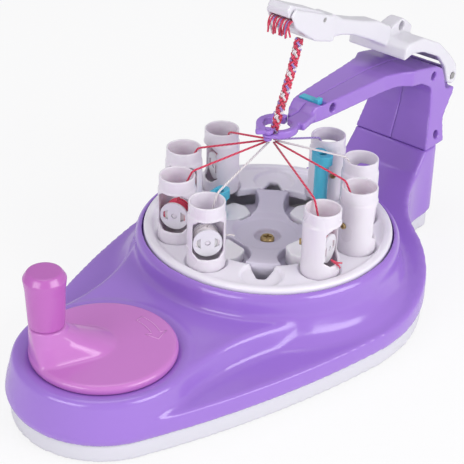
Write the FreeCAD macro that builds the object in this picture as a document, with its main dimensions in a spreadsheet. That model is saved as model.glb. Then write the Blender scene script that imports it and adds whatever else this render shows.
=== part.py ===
import FreeCAD, Part
import math
import os

V = FreeCAD.Vector
UP = V(0, 0, 1)
ALONG = V(1, 0, 0)
ACROSS = V(0, 1, 0)

doc = FreeCAD.newDocument("BraidingMachine")
sizes = doc.addObject("Spreadsheet::Sheet", "Sizes")

# Driving dimensions in millimetres and degrees; the turntable axis is the origin, the floor is zero
DRIVING = {
    "running_gap": 0.3,
    "shaft_gap": 0.06,
    "wall": 2.5,
    # base
    "foot_radius": 7.0,
    "foot_height": 1.8,
    "cover_bottom": 1.0,
    "cover_top": 12.0,
    "cover_inset": 1.5,
    "base_ring_radius": 97.5,
    "base_crank_radius": 53.5,
    "flank_radius": 560.0,
    "tail_reach": 150.0,
    "tail_half_width": 28.0,
    "tail_blend": 60.0,
    "tail_corner": 12.0,
    "skirt_top": 24.0,
    "skirt_draft": 5.0,
    # drums
    "crank_offset": 143.5,
    "drum_radius": 80.0,
    "drum_top": 53.5,
    "drum_rim_radius": 77.0,
    "waist_top": 37.5,
    "waist_bend": 130.0,
    "crank_rim_radius": 48.0,
    "crank_rim_height": 38.8,
    "crank_recess_floor": 36.0,
    # turntable
    "ring_radius": 75.0,
    "ring_top": 55.0,
    "ring_shelf": 53.0,
    "ring_shelf_radius": 69.0,
    "ring_hole_radius": 45.7,
    "ring_underside": 46.0,
    "star_radius": 45.2,
    "star_bay_radius": 24.0,
    "star_bay_centre": 45.0,
    "star_floor": 40.0,
    "hub_top": 46.0,
    "hub_radius": 18.5,
    "screw_recess_radius": 8.0,
    "hub_screw_radius": 4.3,
    # gear train
    "gear_bottom": 22.0,
    "gear_top": 30.0,
    "pinion_bottom": 12.0,
    "ring_teeth": 56,
    "idler_teeth": 19,
    "crank_teeth": 22,
    "inner_teeth": 50,
    "pinion_teeth": 15,
    "star_teeth": 20,
    "inner_pitch_radius": 60.0,
    "backlash": 0.4,
    "pin_radius": 3.0,
    # crank
    "crank_radius": 41.0,
    "crank_top": 42.0,
    "crank_hub_radius": 12.0,
    "knob_distance": 30.8,
    "knob_angle": 149.0,
    "knob_foot": 60.5,
    "knob_top": 94.0,
    "knob_foot_radius": 9.9,
    "knob_top_radius": 11.8,
    # thread lifters on the star disc
    "lifter_circle": 39.1,
    "short_circle": 37.2,
    "lifter_rod": 2.6,
    "lifter_radius": 4.35,
    "lifter_head_width": 15.0,
    "lifter_head_depth": 9.0,
    "lifter_head_height": 6.5,
    # pods
    "pod_circle": 56.0,
    "pod_pitch": 36.0,
    "pod_radius": 11.3,
    "pod_height": 42.0,
    "seat_depth": 2.0,
    "seat_radius": 12.6,
    "pod_wall": 1.7,
    "collar_radius": 10.7,
    "collar_height": 7.5,
    "window_width": 18.0,
    "window_low": 8.5,
    "window_high": 33.2,
    "bobbin_radius": 8.6,
    "bobbin_back_radius": 7.6,
    "bobbin_half_length": 5.4,
    "bobbin_flange": 1.3,
    "bobbin_core": 3.2,
    "bobbin_height": 16.7,
    "spindle_radius": 1.6,
    "yarn_radius": 0.6,
    "winding_radius": 7.2,
    # column and arm
    "seam_height": 62.0,
    "arm_top": 123.3,
    "arm_underside": 113.0,
    "pivot_x": 167.0,
    "pivot_height": 102.0,
    "guide_x": 5.0,
    "guide_radius": 8.5,
    "guide_low": 115.0,
    "guide_high": 120.0,
    "braid_radius": 2.8,
}
for row, (alias, value) in enumerate(DRIVING.items(), start=1):
    sizes.set(f"A{row}", alias)
    sizes.set(f"B{row}", str(value))
    sizes.setAlias(f"B{row}", alias)
doc.recompute()


def val(alias):
    return float(sizes.get(alias))


nodes = []


def node(obj, label):
    obj.Label = label
    nodes.append(obj)
    return obj


def feature(label, shape):
    obj = doc.addObject("Part::Feature", label)
    obj.Shape = shape
    return node(obj, label)


def bind(obj, **expressions):
    for prop, expression in expressions.items():
        obj.setExpression(prop.replace("__", "."), expression)
    return obj


def cylinder(name, radius, height, x="0", y="0", z="0"):
    obj = doc.addObject("Part::Cylinder", name)
    return bind(obj, Radius=radius, Height=height,
                Placement__Base__x=x, Placement__Base__y=y, Placement__Base__z=z)


# Plain shape helpers
def disc(radius, low, high, x=0.0, y=0.0):
    return Part.makeCylinder(radius, high - low, V(x, y, low))


def rounded_wire(points, place):
    """Closed wire through (a, b, radius) corners, each corner a tangent arc; place maps (a, b) to space."""
    flat = [V(a, b, 0) for a, b, r in points]
    count = len(flat)
    starts, ends, arcs = [], [], []
    for i, (a, b, radius) in enumerate(points):
        here = flat[i]
        before = (flat[i - 1] - here).normalize()
        after = (flat[(i + 1) % count] - here).normalize()
        if radius <= 0:
            starts.append(here)
            ends.append(here)
            arcs.append(None)
            continue
        half = before.getAngle(after) / 2
        run = radius / math.tan(half)
        middle = (before + after).normalize()
        centre = here + middle * (radius / math.sin(half))
        starts.append(here + before * run)
        ends.append(here + after * run)
        arcs.append(centre - middle * radius)
    edges = []
    for i in range(count):
        if arcs[i]:
            edges.append(Part.Arc(place(starts[i]), place(arcs[i]), place(ends[i])).toShape())
        nxt = starts[(i + 1) % count]
        if (nxt - ends[i]).Length > 1e-6:
            edges.append(Part.LineSegment(place(ends[i]), place(nxt)).toShape())
    return Part.Wire(edges)


def side_plate(points, low_y, high_y):
    """Profile in the vertical plane along the machine, given thickness across it."""
    wire = rounded_wire(points, lambda p: V(p.x, low_y, p.y))
    return Part.Face(wire).extrude(V(0, high_y - low_y, 0))


def plan_plate(points, low_z, high_z):
    wire = rounded_wire(points, lambda p: V(p.x, p.y, low_z))
    return Part.Face(wire).extrude(V(0, 0, high_z - low_z))


def mirrored_plan(half):
    """Plan corners on the +Y side, from the far end inwards, mirrored to a closed outline."""
    return half + [(x, -y, r) for x, y, r in reversed(half)]


def turned(points, x=0.0, y=0.0):
    """Solid of revolution about a vertical axis from (radius, height) corners."""
    wire = Part.makePolygon([V(r, 0, z) for r, z in points + points[:1]])
    solid = Part.Face(wire).revolve(V(0, 0, 0), UP, 360)
    solid.translate(V(x, y, 0))
    return solid


crank_x = -val("crank_offset")


def outline(ring, crank, reach, half, z):
    """Base outline: two drums, a convex flank between them and a tail under the column."""
    flank = val("flank_radius")
    span = val("crank_offset")
    cx = ((flank - crank) ** 2 - (flank - ring) ** 2 - span ** 2) / (2 * span)
    cy = math.sqrt((flank - ring) ** 2 - cx ** 2)
    centre = V(cx, -cy, 0)
    on_ring = centre + (V(0, 0, 0) - centre).normalize() * flank
    on_crank = centre + (V(crank_x, 0, 0) - centre).normalize() * flank
    flank_mid = centre + ((on_ring + on_crank) * 0.5 - centre).normalize() * flank
    blend = val("tail_blend")
    bx = math.sqrt((ring + blend) ** 2 - (half + blend) ** 2)
    blend_centre = V(bx, half + blend, 0)
    leave = blend_centre * (ring / (ring + blend))
    land = V(bx, half, 0)
    blend_mid = blend_centre + ((leave + land) * 0.5 - blend_centre).normalize() * blend
    ring_mid = ((on_ring + leave) * 0.5).normalize() * ring
    corner = val("tail_corner")
    turn = V(reach - corner, half, 0)
    corner_mid = V(reach - corner, half - corner, 0) + V(1, 1, 0).normalize() * corner
    tip = V(reach, half - corner, 0)
    up = [("arc", on_crank, flank_mid, on_ring), ("arc", on_ring, ring_mid, leave),
          ("arc", leave, blend_mid, land), ("line", land, turn), ("arc", turn, corner_mid, tip)]

    def edge(kind, *pts):
        pts = [V(p.x, p.y, z) for p in pts]
        return Part.Arc(*pts).toShape() if kind == "arc" else Part.LineSegment(*pts).toShape()

    def flip(p):
        return V(p.x, -p.y, 0)

    edges = [edge(*e) for e in up]
    edges.append(edge("line", tip, flip(tip)))
    for e in reversed(up):
        edges.append(edge(e[0], *[flip(p) for p in reversed(e[1:])]))
    edges.append(edge("arc", flip(on_crank), V(crank_x - crank, 0, 0), on_crank))
    return Part.Wire(edges)


def waist_outline(ring, crank, bend, z):
    """Two circles joined by hollow flanks."""
    span = val("crank_offset")
    cx = ((crank + bend) ** 2 - (ring + bend) ** 2 - span ** 2) / (2 * span)
    cy = math.sqrt((ring + bend) ** 2 - cx ** 2)
    centre = V(cx, cy, z)
    on_ring = V(0, 0, z) + (centre - V(0, 0, z)).normalize() * ring
    on_crank = V(crank_x, 0, z) + (centre - V(crank_x, 0, z)).normalize() * crank
    mid = centre + ((on_ring + on_crank) * 0.5 - centre).normalize() * bend

    def flip(p):
        return V(p.x, -p.y, p.z)

    return Part.Wire([
        Part.Arc(on_crank, mid, on_ring).toShape(),
        Part.Arc(on_ring, V(ring, 0, z), flip(on_ring)).toShape(),
        Part.Arc(flip(on_ring), flip(mid), flip(on_crank)).toShape(),
        Part.Arc(flip(on_crank), V(crank_x - crank, 0, z), on_crank).toShape()])


def loft(wires, ruled=True):
    return Part.makeLoft(wires, True, ruled)


# Gear outlines
def involute_turn(radius, base):
    angle = math.acos(min(1.0, base / radius))
    return math.tan(angle) - angle


def gear_face(teeth, pitch, thinning, internal=False, start=0.0):
    """Gear outline with straight flanks laid on the involute's ends; start turns the first tooth."""
    teeth = int(teeth)
    module = 2 * pitch / teeth
    tip = pitch - 0.9 * module if internal else pitch + 0.9 * module
    root = pitch + 1.15 * module if internal else pitch - 1.15 * module
    base = pitch * math.cos(math.radians(20))
    half = math.pi / (2 * teeth) - thinning / (2 * pitch)
    sign = -1 if internal else 1

    def half_angle(radius):
        return half + sign * (involute_turn(pitch, base) - involute_turn(max(radius, base), base))

    points = []
    for k in range(teeth):
        middle = math.radians(start) + 2 * math.pi * k / teeth
        for side, radii in ((-1, (root, tip)), (1, (tip, root))):
            for radius in radii:
                a = middle + side * half_angle(radius)
                points.append(V(radius * math.cos(a), radius * math.sin(a), 0))
    return Part.Face(Part.makePolygon(points + points[:1]))


outer_module = 2 * val("crank_offset") / (val("ring_teeth") + 2 * val("idler_teeth") + val("crank_teeth"))
ring_pitch = outer_module * val("ring_teeth") / 2
idler_pitch = outer_module * val("idler_teeth") / 2
crank_pitch = outer_module * val("crank_teeth") / 2
idler_x = -(ring_pitch + idler_pitch)
inner_pitch = val("inner_pitch_radius")
star_pitch = inner_pitch * val("star_teeth") / val("inner_teeth")
pinion_pitch = inner_pitch * val("pinion_teeth") / val("inner_teeth")
pinion_place = star_pitch + pinion_pitch
gear_low = val("gear_bottom")
gear_high = val("gear_top")
gap = val("running_gap")
wall = val("wall")
pin = val("pin_radius")
bore = pin + val("shaft_gap")


def gear_body(face, x=0.0):
    solid = face.extrude(V(0, 0, gear_high - gear_low))
    solid.translate(V(x, 0, gear_low))
    return solid


# Rubber feet under the cover, one of them under the turntable axis
FOOT_PLACES = [(0, 0), (72, 48), (72, -48), (-60, 62), (-60, -62), (-174, 0)]
feet = []
for number, (fx, fy) in enumerate(FOOT_PLACES):
    feet.append(cylinder(f"foot_{number}", "Sizes.foot_radius", "Sizes.foot_height", str(fx), str(fy)))
foot_set = doc.addObject("Part::Compound", "rubber_feet")
foot_set.Links = feet
node(foot_set, "rubber_feet")

# Screw places of the base, along its edge
SCREW_CIRCLE = 84.2
screw_places = []
for angle in (48, -48, 122, -122):
    turn = math.radians(angle)
    screw_places.append((SCREW_CIRCLE * math.cos(turn), SCREW_CIRCLE * math.sin(turn)))
screw_places += [(crank_x - 41, 0), (131, 22), (131, -22)]
BOSS_TOPS = [29.8, 29.8, 26.4, 26.4, val("crank_recess_floor") - 1.2, 40, 40]

# Bottom cover: a shallow tray with the posts that carry the gears and the turntable hub
ring_r = val("base_ring_radius")
crank_r = val("base_crank_radius")
reach = val("tail_reach")
half_tail = val("tail_half_width")
inset = val("cover_inset")
low = val("cover_bottom")
top = val("cover_top")


def base_block(shrink, z0, z1, draft=0.0):
    bottom = outline(ring_r - shrink, crank_r - shrink, reach - shrink, half_tail - shrink, z0)
    if draft == 0:
        return Part.Face(bottom).extrude(V(0, 0, z1 - z0))
    upper = outline(ring_r - shrink - draft, crank_r - shrink - draft * 0.4, reach - shrink,
                    half_tail - shrink, z1)
    return loft([bottom, upper])


cover = base_block(inset, low, top)
cover = cover.cut(base_block(inset + wall, low + wall, top + 1))
post_top = 39.0
posts = [(0, 0, 10.0, gear_low - 2 - gap), (0, 0, 6.0, val("star_floor") - gap),
         (pinion_place, 0, 6.0, val("pinion_bottom") - gap), (pinion_place, 0, pin, post_top - 1),
         (idler_x, 0, 6.5, gear_low - gap), (crank_x, 0, 7.0, gear_low - gap)]
for px, py, radius, height in posts:
    cover = cover.fuse(disc(radius, low, height, px, py))
for sx, sy in screw_places:
    cover = cover.fuse(disc(5.0, low, top, sx, sy))
for sx, sy in screw_places:
    cover = cover.cut(disc(3.6, low - 1, low + 3, sx, sy))
    cover = cover.cut(disc(1.8, low - 1, top + 1, sx, sy))
for fx, fy in FOOT_PLACES:
    cover = cover.cut(disc(val("foot_radius"), low - 1, val("foot_height"), fx, fy))
cover = cover.cut(disc(pin, 5.0, 60, idler_x))
cover = cover.cut(disc(pin, 5.0, 60, crank_x))
cover = cover.cut(disc(2.0, 28.0, 60))
feature("bottom_cover", cover.removeSplitter())

# Base screws, head up in the cover's recesses
screws = [disc(3.4, low + 0.6, low + 3, sx, sy).fuse(disc(1.5, low + 3, top + 8, sx, sy))
          for sx, sy in screw_places]
feature("base_screws", Part.makeCompound(screws))

# Top housing: skirt, hollow-sided waist, two drums and the foot of the column
rim_r = val("drum_rim_radius")
drum_r = val("drum_radius")
drum_top = val("drum_top")
waist_top = val("waist_top")
skirt_top = val("skirt_top")
seam = val("seam_height")
crank_rim = val("crank_rim_radius")
crank_rim_z = val("crank_rim_height")


def shoulder(shrink):
    """The skirt climbs in a sweep to the foot of the column."""
    block = base_block(shrink, top, seam)
    sweep = Part.Wire([
        Part.LineSegment(V(-260, -120, top), V(-260, -120, skirt_top - shrink)).toShape(),
        Part.LineSegment(V(-260, -120, skirt_top - shrink), V(-10, -120, skirt_top - shrink)).toShape(),
        Part.Arc(V(-10, -120, skirt_top - shrink), V(62, -120, 32.5 - shrink),
                 V(118 + shrink, -120, 49 - shrink)).toShape(),
        Part.LineSegment(V(118 + shrink, -120, 49 - shrink), V(129 + shrink, -120, seam)).toShape(),
        Part.LineSegment(V(129 + shrink, -120, seam), V(200, -120, seam)).toShape(),
        Part.LineSegment(V(200, -120, seam), V(200, -120, top)).toShape(),
        Part.LineSegment(V(200, -120, top), V(-260, -120, top)).toShape()])
    return block.common(Part.Face(sweep).extrude(V(0, 240, 0)))


def housing_form(shrink):
    skirt = base_block(shrink, top, skirt_top - shrink, val("skirt_draft"))
    waist = loft([waist_outline(90.0 - shrink, 54.9 - shrink, val("waist_bend"), skirt_top - 8),
                  waist_outline(drum_r - shrink, crank_rim + 2 - shrink, val("waist_bend"),
                                waist_top - shrink)])
    drum = turned([(0, top), (92 - shrink, top), (92 - shrink, 24), (84.5 - shrink, 30),
                   (drum_r - shrink, 40), (drum_r - shrink, 50), (rim_r - shrink, drum_top - shrink),
                   (0, drum_top - shrink)])
    crank_drum = turned([(0, top), (crank_r - 1.5 - shrink, top), (crank_r - 1.5 - shrink, 24),
                         (crank_rim + 1.4 - shrink, 35), (crank_rim - shrink, crank_rim_z - shrink),
                         (0, crank_rim_z - shrink)], crank_x)
    return skirt.fuse([waist, drum, crank_drum, shoulder(shrink)])


housing = housing_form(0)
inside = housing_form(wall)
inside.translate(V(0, 0, -0.01))
crank_gap = val("crank_radius") + 0.6
recess = val("crank_recess_floor")
housing = housing.cut(inside)
housing = housing.cut(disc(val("ring_radius") + gap * 2, 46.0 - gap, 80))
housing = housing.cut(disc(crank_gap, recess, 60, crank_x))
dish = turned([(crank_gap - 1, 60), (crank_gap - 1, 37.4), (crank_rim - 1.2, crank_rim_z - 0.4),
               (crank_rim - 1.2, 60)], crank_x)
housing = housing.cut(dish)
ledge = turned([(72.4, 46.0 - gap - wall), (drum_r - 1.0, 46.0 - gap - wall), (drum_r - 1.0, 46.0 - gap),
                (72.4, 46.0 - gap)])
pan = disc(crank_rim, recess - wall, recess, crank_x)
housing = housing.fuse([ledge, pan])
housing = housing.cut(disc(val("crank_hub_radius") + gap, recess - 6, recess + 6, crank_x))
bosses = [disc(4.5, top, BOSS_TOPS[i], sx, sy) for i, (sx, sy) in enumerate(screw_places)]
bosses.append(disc(5.5, gear_high + 3, waist_top - wall / 2, idler_x))
housing = housing.fuse(bosses)
housing = housing.cut(disc(crank_gap, recess, 60, crank_x))
for sx, sy in screw_places:
    housing = housing.cut(disc(1.55, top - 1, top + 8.5, sx, sy))
housing = housing.cut(disc(bore, gear_high, gear_high + 5.6, idler_x))
socket = plan_plate(mirrored_plan([(133.5, 17, 3), (146.5, 22, 3)]), 44, seam + 1)
housing = housing.cut(socket)
feature("top_housing", housing.removeSplitter())

# Gear train under the turntable
idler = gear_body(gear_face(val("idler_teeth"), idler_pitch, val("backlash"),
                            start=180.0 / val("idler_teeth")), idler_x)
idler = idler.fuse(disc(6.0, gear_high, gear_high + 3 - gap, idler_x)).cut(disc(bore, 10, 50, idler_x))
feature("idler_gear", idler)

crank_gear = gear_body(gear_face(val("crank_teeth"), crank_pitch, val("backlash"),
                                 start=180.0 / val("crank_teeth")), crank_x)
crank_gear = crank_gear.cut(disc(bore, 10, 50, crank_x))
feature("crank_gear", crank_gear)
cylinder_pin = cylinder("idler_pin", "Sizes.pin_radius", "Sizes.gear_top + 5.4 - 5",
                        str(idler_x), "0", "5")
node(cylinder_pin, "idler_pin")
axle = cylinder("crank_axle", "Sizes.pin_radius", "Sizes.crank_recess_floor - 6",
                "-Sizes.crank_offset", "0", "5")
node(axle, "crank_axle")

# Crank disc: domed plate, hub, and the long ramp that carries the knob
disc_top = val("crank_top")
crank = turned([(0, recess + 0.4), (val("crank_radius") - 0.8, recess + 0.4),
                (val("crank_radius"), recess + 1.6), (val("crank_radius"), disc_top - 1.6),
                (val("crank_radius") - 1.6, disc_top), (0, disc_top)], crank_x)
crank = crank.fuse(disc(val("crank_hub_radius"), gear_high + gap * 0.1, disc_top - 2, crank_x))
knob_turn = math.radians(val("knob_angle"))
knob_x = crank_x + val("knob_distance") * math.cos(knob_turn)
knob_y = val("knob_distance") * math.sin(knob_turn)
knob_foot = val("knob_foot")
foot_r = val("knob_foot_radius")


def circle_wire(x, y, z, radius):
    return Part.Wire(Part.makeCircle(radius, V(x, y, z)))


ramp_levels = [(disc_top - 0.5, 24.0, 15.5), (disc_top + 4, 17.0, 13.6), (disc_top + 10, 7.0, 11.3),
               (knob_foot - 3, 1.0, foot_r + 0.5), (knob_foot, 0.0, foot_r + 0.2)]


def ramp_section(z, tail, radius):
    """Drop-shaped section: a circle under the knob and a smaller one towards the disc's far side."""
    lead = V(math.cos(knob_turn - 3.02), math.sin(knob_turn - 3.02), 0)
    side = V(-lead.y, lead.x, 0)
    head = V(knob_x, knob_y, z)
    far = head + lead * (tail + 0.1)
    return Part.Wire([
        Part.LineSegment(head + side * radius, far + side * radius).toShape(),
        Part.Arc(far + side * radius, far + lead * radius, far - side * radius).toShape(),
        Part.LineSegment(far - side * radius, head - side * radius).toShape(),
        Part.Arc(head - side * radius, head - lead * radius, head + side * radius).toShape()])


ramp = loft([ramp_section(z, tail, radius) for z, tail, radius in ramp_levels])
ramp = ramp.common(disc(val("crank_radius") - 0.6, disc_top - 1, knob_foot + 1, crank_x))
crank = crank.fuse(ramp)
crank = crank.cut(disc(bore, 10, val("crank_recess_floor"), crank_x))
crank = crank.cut(disc(1.6, knob_foot - 14, knob_foot + 1, knob_x, knob_y))
feature("crank_disc", crank.removeSplitter())

knob_top = val("knob_top")
knob_head = val("knob_top_radius")
knob = turned([(1.7, knob_foot + gap), (foot_r, knob_foot + gap), (knob_head - 0.9, knob_top - 11),
               (knob_head, knob_top - 4), (knob_head - 2.6, knob_top), (0, knob_top), (0, knob_top - 8),
               (1.7, knob_top - 8)], knob_x, knob_y)
feature("crank_knob", knob)
knob_pin = disc(1.6, knob_foot - 13, knob_top - 8.4, knob_x, knob_y)
feature("knob_pin", knob_pin)

# Outer turntable ring with its shelf for the pods, notches, and the gear ring moulded below
shelf = val("ring_shelf")
hole_r = val("ring_hole_radius")
ring_r0 = val("ring_radius")
under = val("ring_underside")
plate = turned([(hole_r, under + 2), (hole_r, shelf), (val("ring_shelf_radius"), shelf),
                (val("ring_shelf_radius") + 1, val("ring_top")), (ring_r0 - 1, val("ring_top")),
                (ring_r0, val("ring_top") - 1), (ring_r0, under), (hole_r + 18, under),
                (hole_r + 14, under + 2)])
skirt_gear = gear_face(val("ring_teeth"), ring_pitch, val("backlash")).extrude(V(0, 0, gear_high - gear_low))
skirt_gear.translate(V(0, 0, gear_low))
inner_gear = gear_face(val("inner_teeth"), inner_pitch, val("backlash"), True)
inner_cut = inner_gear.extrude(V(0, 0, gear_high - gear_low + 4))
inner_cut.translate(V(0, 0, gear_low - 2))
neck = disc(66.0, gear_high, under + 1).cut(disc(63.2, gear_high - 1, under + 2))
notch_half = 6.3
notch_deep = 57.4
ring = plate.fuse([skirt_gear.cut(inner_cut), neck])
pitch = val("pod_pitch")
POD_ANGLES = {"a": 106.5, "b": 142.5, "c": 70.5, "d": 178.5, "e": -1.5, "f": -37.5, "g": -73.5, "h": -109.5}
first_angle = POD_ANGLES["d"]
notch = plan_plate([(hole_r - 5, -7.2, 0), (hole_r + 2.5, -6.0, 1), (notch_deep, -2.4, 1.2),
                    (notch_deep, 2.4, 1.2), (hole_r + 2.5, 6.0, 1), (hole_r - 5, 7.2, 0)], under, shelf + 5)
seat = disc(val("seat_radius"), shelf - val("seat_depth"), shelf + 5, val("pod_circle"))
for k in range(10):
    for cutter in (notch, seat):
        cut = cutter.copy()
        cut.rotate(V(0, 0, 0), UP, first_angle + k * pitch)
        ring = ring.cut(cut)
feature("outer_ring", ring.removeSplitter())

# Reversing pinion between the ring's inner teeth and the star's gear
pinion = gear_body(gear_face(val("pinion_teeth"), pinion_pitch, val("backlash"),
                             start=180.0 / val("pinion_teeth")), pinion_place)
pinion = pinion.fuse([disc(pinion_pitch, gear_high, val("star_floor") - gap, pinion_place),
                      disc(pinion_pitch, val("pinion_bottom"), gear_low, pinion_place)])
pinion = pinion.cut(disc(bore, 10, 50, pinion_place))
feature("reversing_pinion", pinion)

# Inner star disc
star_floor = val("star_floor")
hub_top = val("hub_top")
star = turned([(0, star_floor), (val("star_radius"), star_floor), (val("star_radius"), shelf),
               (39, shelf - 0.6), (22, shelf - 4), (val("hub_radius"), hub_top), (0, hub_top)])
bay_floor = star_floor + 2
for k in range(4):
    a = math.radians(79.5 + 90 * k)
    bx, by = val("star_bay_centre") * math.cos(a), val("star_bay_centre") * math.sin(a)
    star = star.cut(disc(val("star_bay_radius"), bay_floor, 70, bx, by))
star = star.fuse(disc(9.0, gear_low - 2, star_floor + 1))
star_gear = gear_face(val("star_teeth"), star_pitch, val("backlash"),
                      start=180.0 / val("star_teeth")).extrude(V(0, 0, gear_high - gear_low))
star_gear.translate(V(0, 0, gear_low))
star = star.fuse(star_gear)
LIFTERS = {"tall": (-15.7, val("lifter_circle"), 74.0), "short": (92.2, val("short_circle"), 61.0)}
for angle, lifter_circle, rod_top in LIFTERS.values():
    a = math.radians(angle)
    star = star.fuse(disc(val("lifter_rod"), bay_floor - 1, rod_top,
                          lifter_circle * math.cos(a), lifter_circle * math.sin(a)))
star = star.cut(disc(6.0 + val("shaft_gap"), gear_low - 5, star_floor))
star = star.cut(disc(2.4, star_floor - 1, 60))
star = star.cut(disc(val("screw_recess_radius"), star_floor + 2.4, 60))
pod_reach = val("pod_circle") - val("pod_radius") - gap
star = star.cut(disc(60, shelf - val("seat_depth"), shelf + 1).cut(disc(pod_reach, shelf - 5, shelf + 2)))
feature("star_disc", star.removeSplitter())
hub_screw = disc(val("hub_screw_radius"), star_floor + 2.4 + gap, star_floor + 4.8).fuse(
    disc(2.0, star_floor - 11, star_floor + 2.4 + gap))
feature("hub_screw", hub_screw)

# Transfer pads in the four star bays, with room round the guide rods
PAD_TOPS = [46.5, 49.0, 53.4, 49.0]
pads = []
for k, pad_top in enumerate(PAD_TOPS):
    pad = plan_plate([(24.5, -8, 3), (34, -12.0, 5), (42.8, -9, 3), (42.8, 9, 3), (34, 12.0, 5),
                      (24.5, 8, 3)], bay_floor + gap, pad_top)
    if k in (1, 2):
        pad = pad.cut(disc(4.5, bay_floor, 70, 41.5, 0))
    pad.rotate(V(0, 0, 0), UP, 79.5 + 90 * k)
    for angle, lifter_circle, rod_top in LIFTERS.values():
        a = math.radians(angle)
        pad = pad.cut(disc(val("lifter_radius") + 0.5, bay_floor, 70,
                           lifter_circle * math.cos(a), lifter_circle * math.sin(a)))
    pads.append(pad)
feature("transfer_pads", Part.makeCompound(pads))

# Cyan thread lifters: an eyelet head on a tube that slides on the star's guide rod
LIFTER_SPANS = {"tall": (58.0, 91.0), "short": (43.0, 63.5)}
for name, (angle, lifter_circle, rod_top) in LIFTERS.items():
    foot_z, head_z = LIFTER_SPANS[name]
    depth = val("lifter_head_depth") / 2
    width = val("lifter_head_width") / 2
    head = plan_plate([(-depth, -width, depth * 0.95), (depth, -width, depth * 0.95),
                       (depth, width, depth * 0.95), (-depth, width, depth * 0.95)],
                      head_z - val("lifter_head_height"), head_z)
    post = disc(val("lifter_radius"), foot_z, head_z - 1).fuse(head)
    post = post.cut(disc(val("lifter_rod") + val("shaft_gap"), foot_z - 1, head_z + 1))
    post.translate(V(lifter_circle, 0, 0))
    post.rotate(V(0, 0, 0), UP, angle)
    feature(f"thread_lifter_{name}", post.removeSplitter())

# Pod cup, drawn once with its window looking along its own X, then placed eight times
pod_r = val("pod_radius")
pod_h = val("pod_height")
pod_wall = val("pod_wall")
collar_r = val("collar_radius")
collar_h = val("collar_height")
bobbin_z = val("bobbin_height")
half_len = val("bobbin_half_length")
spindle = val("spindle_radius")


def along(radius, start, length, z):
    return Part.makeCylinder(radius, length, V(start, 0, z), ALONG)


cup = turned([(0, 0), (pod_r, 0), (pod_r, pod_h - collar_h - 1.2), (collar_r, pod_h - collar_h),
              (collar_r, pod_h), (pod_r - pod_wall, pod_h), (pod_r - pod_wall, 2), (0, 2)])
half_window = val("window_width") / 2
window_low = val("window_low")
window_high = val("window_high")
corner = 3.0
window = [(-half_window, window_low + corner), (-half_window + corner, window_low),
          (half_window - corner, window_low), (half_window, window_low + corner),
          (half_window, window_high - corner), (half_window - corner, window_high),
          (-half_window + corner, window_high), (-half_window, window_high - corner),
          (-half_window, window_low + corner)]
window_wire = Part.makePolygon([V(3.4, y, z) for y, z in window])
cup = cup.cut(Part.Face(window_wire).extrude(V(20, 0, 0)))
cup = cup.fuse(along(spindle, -pod_r + pod_wall / 2, pod_r - pod_wall / 2 + half_len - 0.4, bobbin_z))
SCREW_TURN = -65
screw_z = 19.3
socket_wire = Part.makePolygon([V(1.35 * math.cos(math.radians(60 * k)), -pod_r - 2,
                                  screw_z + 1.35 * math.sin(math.radians(60 * k))) for k in range(7)])
socket = Part.Face(socket_wire).extrude(V(0, 6, 0))
socket.rotate(V(0, 0, 0), UP, SCREW_TURN)
cup = cup.cut(socket)
cup = cup.removeSplitter()

# Bobbin with two flanges, the front one with a pair of D-shaped finger holes
bobbin_r = val("bobbin_radius")
back_r = val("bobbin_back_radius")
flange = val("bobbin_flange")
core_r = val("bobbin_core")
bobbin = along(bobbin_r, half_len - flange, flange, 0).fuse(
    [along(back_r, -half_len, flange, 0), along(core_r, -half_len, 2 * half_len, 0)])
bobbin = bobbin.cut(along(spindle + val("shaft_gap"), -20, 40, 0))
for turn in (0, 180):
    hole = Part.Face(Part.makePolygon([V(0, 4.0, -3.4), V(0, 6.8, -1.8), V(0, 6.8, 1.8), V(0, 4.0, 3.4),
                                     V(0, 4.0, -3.4)])).extrude(V(20, 0, 0))
    hole.rotate(V(0, 0, 0), ALONG, turn)
    bobbin = bobbin.cut(hole)
bobbin = bobbin.removeSplitter()

winding_r = val("winding_radius")
winding = along(winding_r, -half_len + flange, 2 * (half_len - flange), 0).cut(along(core_r, -20, 40, 0))
cup_screw = Part.makeCylinder(1.9, 1.2, V(0, -pod_r - 1.25, screw_z), ACROSS).fuse(
    Part.makeCylinder(1.1, 3.1, V(0, -pod_r - 0.1, screw_z), ACROSS))
cup_screw.rotate(V(0, 0, 0), UP, SCREW_TURN)

pod_z = shelf - val("seat_depth") + gap
WINDOW_TURNS = {"a": 104, "b": 60, "c": 80, "d": 50, "e": 32, "f": 35, "g": 38, "h": 32}
circle = val("pod_circle")


def place_pod(shape, name, lift=0.0):
    """Turn the pod's window its own way, then set the pod in its seat on the turntable."""
    placed = shape.copy()
    placed.translate(V(0, 0, lift))
    angle = POD_ANGLES[name]
    placed.rotate(V(0, 0, 0), UP, angle + WINDOW_TURNS[name])
    a = math.radians(angle)
    placed.translate(V(circle * math.cos(a), circle * math.sin(a), pod_z))
    return placed


cup_screws = []
for name in POD_ANGLES:
    feature(f"pod_cup_{name}", place_pod(cup, name))
    feature(f"bobbin_{name}", place_pod(bobbin, name, bobbin_z))
    feature(f"yarn_winding_{name}", place_pod(winding, name, bobbin_z))
    cup_screws.append(place_pod(cup_screw, name))
feature("pod_screws", Part.makeCompound(cup_screws))

# Yarn strands: from each bobbin over its cup's rim, then taut to the braiding point
yarn_r = val("yarn_radius")
meet_z = val("guide_low") - 5


def section(place, along_run, radius, sides):
    """Cord section square to its run: a circle, or a polygon of the same area for thin yarn."""
    if sides == 0:
        return Part.Wire(Part.makeCircle(radius, place, along_run))
    reach = radius * math.sqrt(2 * math.pi / (sides * math.sin(2 * math.pi / sides)))
    turn = FreeCAD.Rotation(UP, along_run)
    step = 2 * math.pi / sides
    corners = [V(reach * math.cos(step * k), reach * math.sin(step * k), 0) for k in range(sides)]
    corners.append(corners[0])
    return Part.makePolygon([place + turn.multVec(c) for c in corners])


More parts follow.
